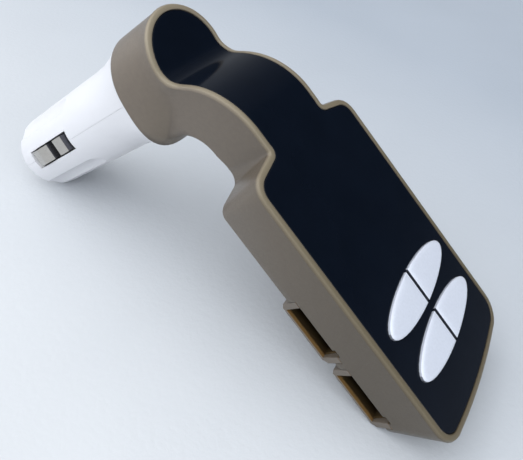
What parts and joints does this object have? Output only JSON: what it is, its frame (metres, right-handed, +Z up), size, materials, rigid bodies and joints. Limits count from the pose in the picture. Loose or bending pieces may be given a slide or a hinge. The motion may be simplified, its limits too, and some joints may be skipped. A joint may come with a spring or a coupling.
{
  "type": "car fm transmitter",
  "caption": "Car FM transmitter: a round power-socket plug and a display body with oval rocker keys and two USB sockets, joined by a curved neck.",
  "frame": {"origin": "centre of the bounding box at the level that the part stands on", "axes": "+Z up with the part standing on the plug and the lower back edge, as in the picture; +X from the plug towards the body with the display; +Y to the side away from the USB sockets"},
  "size_m": [0.134, 0.0406, 0.0648],
  "materials": {
    "shell": "satin metallic beige plastic",
    "cover": "satin",
    "panel": "high gloss",
    "key": "satin pearl",
    "white_plastic": "semi gloss",
    "black_plastic": "matte",
    "switch_case": "matte",
    "board": "solder mask",
    "display": "semi gloss",
    "chip": "matte",
    "socket_steel": "satin",
    "gilt": "polished",
    "nickel": "polished nickel",
    "spring_steel": "drawn wire",
    "dark_steel": "blackened",
    "ferrite": "matte",
    "sleeve": "shrink sleeve",
    "red_wire": "satin",
    "black_wire": "satin"
  },
  "bodies": {
    "body": {"housing": "shell", "front_panel": "panel", "back_cover": "cover", "cover_screws": "dark_steel", "switch_upper_near": "switch_case", "switch_upper_far": "switch_case", "switch_lower_near": "switch_case", "switch_lower_far": "switch_case", "main_board": "board", "display": "display", "radio_chip": "chip", "control_chip": "chip", "card_socket": "socket_steel", "audio_jack": "black_plastic", "usb_shell_upper": "socket_steel", "usb_shell_lower": "socket_steel", "usb_tongue_upper": "black_plastic", "usb_tongue_lower": "black_plastic", "usb_contacts_upper": "gilt", "usb_contacts_lower": "gilt", "plug_half_front": "white_plastic", "plug_half_rear": "white_plastic", "tip_spring": "spring_steel", "power_board": "board", "inductor": "ferrite", "capacitor": "sleeve", "power_wire": "red_wire", "ground_wire": "black_wire"},
    "key_upper_near_body": {"key_upper_near": "key", "plunger_upper_near": "black_plastic"},
    "key_upper_far_body": {"key_upper_far": "key", "plunger_upper_far": "black_plastic"},
    "key_lower_near_body": {"key_lower_near": "key", "plunger_lower_near": "black_plastic"},
    "key_lower_far_body": {"key_lower_far": "key", "plunger_lower_far": "black_plastic"},
    "tip": {"tip_contact": "nickel"},
    "contact_near": {"side_contact_near": "nickel"},
    "contact_far": {"side_contact_far": "nickel"}
  },
  "joints": [
    {"name": "key_upper_near_press", "type": "slide", "parent": "body", "child": "key_upper_near_body", "axis": [-0.6076, 0, -0.7942], "range_m": [0, 0.0003], "stiffness_N_per_m": 4000, "springref_m": -0.0002},
    {"name": "key_upper_far_press", "type": "slide", "parent": "body", "child": "key_upper_far_body", "axis": [-0.6076, 0, -0.7942], "range_m": [0, 0.0003], "stiffness_N_per_m": 4000, "springref_m": -0.0002},
    {"name": "key_lower_near_press", "type": "slide", "parent": "body", "child": "key_lower_near_body", "axis": [-0.6076, 0, -0.7942], "range_m": [0, 0.0003], "stiffness_N_per_m": 4000, "springref_m": -0.0002},
    {"name": "key_lower_far_press", "type": "slide", "parent": "body", "child": "key_lower_far_body", "axis": [-0.6076, 0, -0.7942], "range_m": [0, 0.0003], "stiffness_N_per_m": 4000, "springref_m": -0.0002},
    {"name": "tip_contact_slide", "type": "slide", "parent": "body", "child": "tip", "axis": [0.7085, 0, 0.7057], "range_m": [0, 0.0024], "stiffness_N_per_m": 900, "springref_m": -0.002, "deforming": ["tip_spring"]},
    {"name": "side_contact_near_press", "type": "slide", "parent": "body", "child": "contact_near", "axis": [0, 1, 0], "range_m": [0, 0.0009], "stiffness_N_per_m": 1500, "springref_m": -0.0005},
    {"name": "side_contact_far_press", "type": "slide", "parent": "body", "child": "contact_far", "axis": [0, -1, 0], "range_m": [0, 0.0009], "stiffness_N_per_m": 1500, "springref_m": -0.0005}
  ]
}
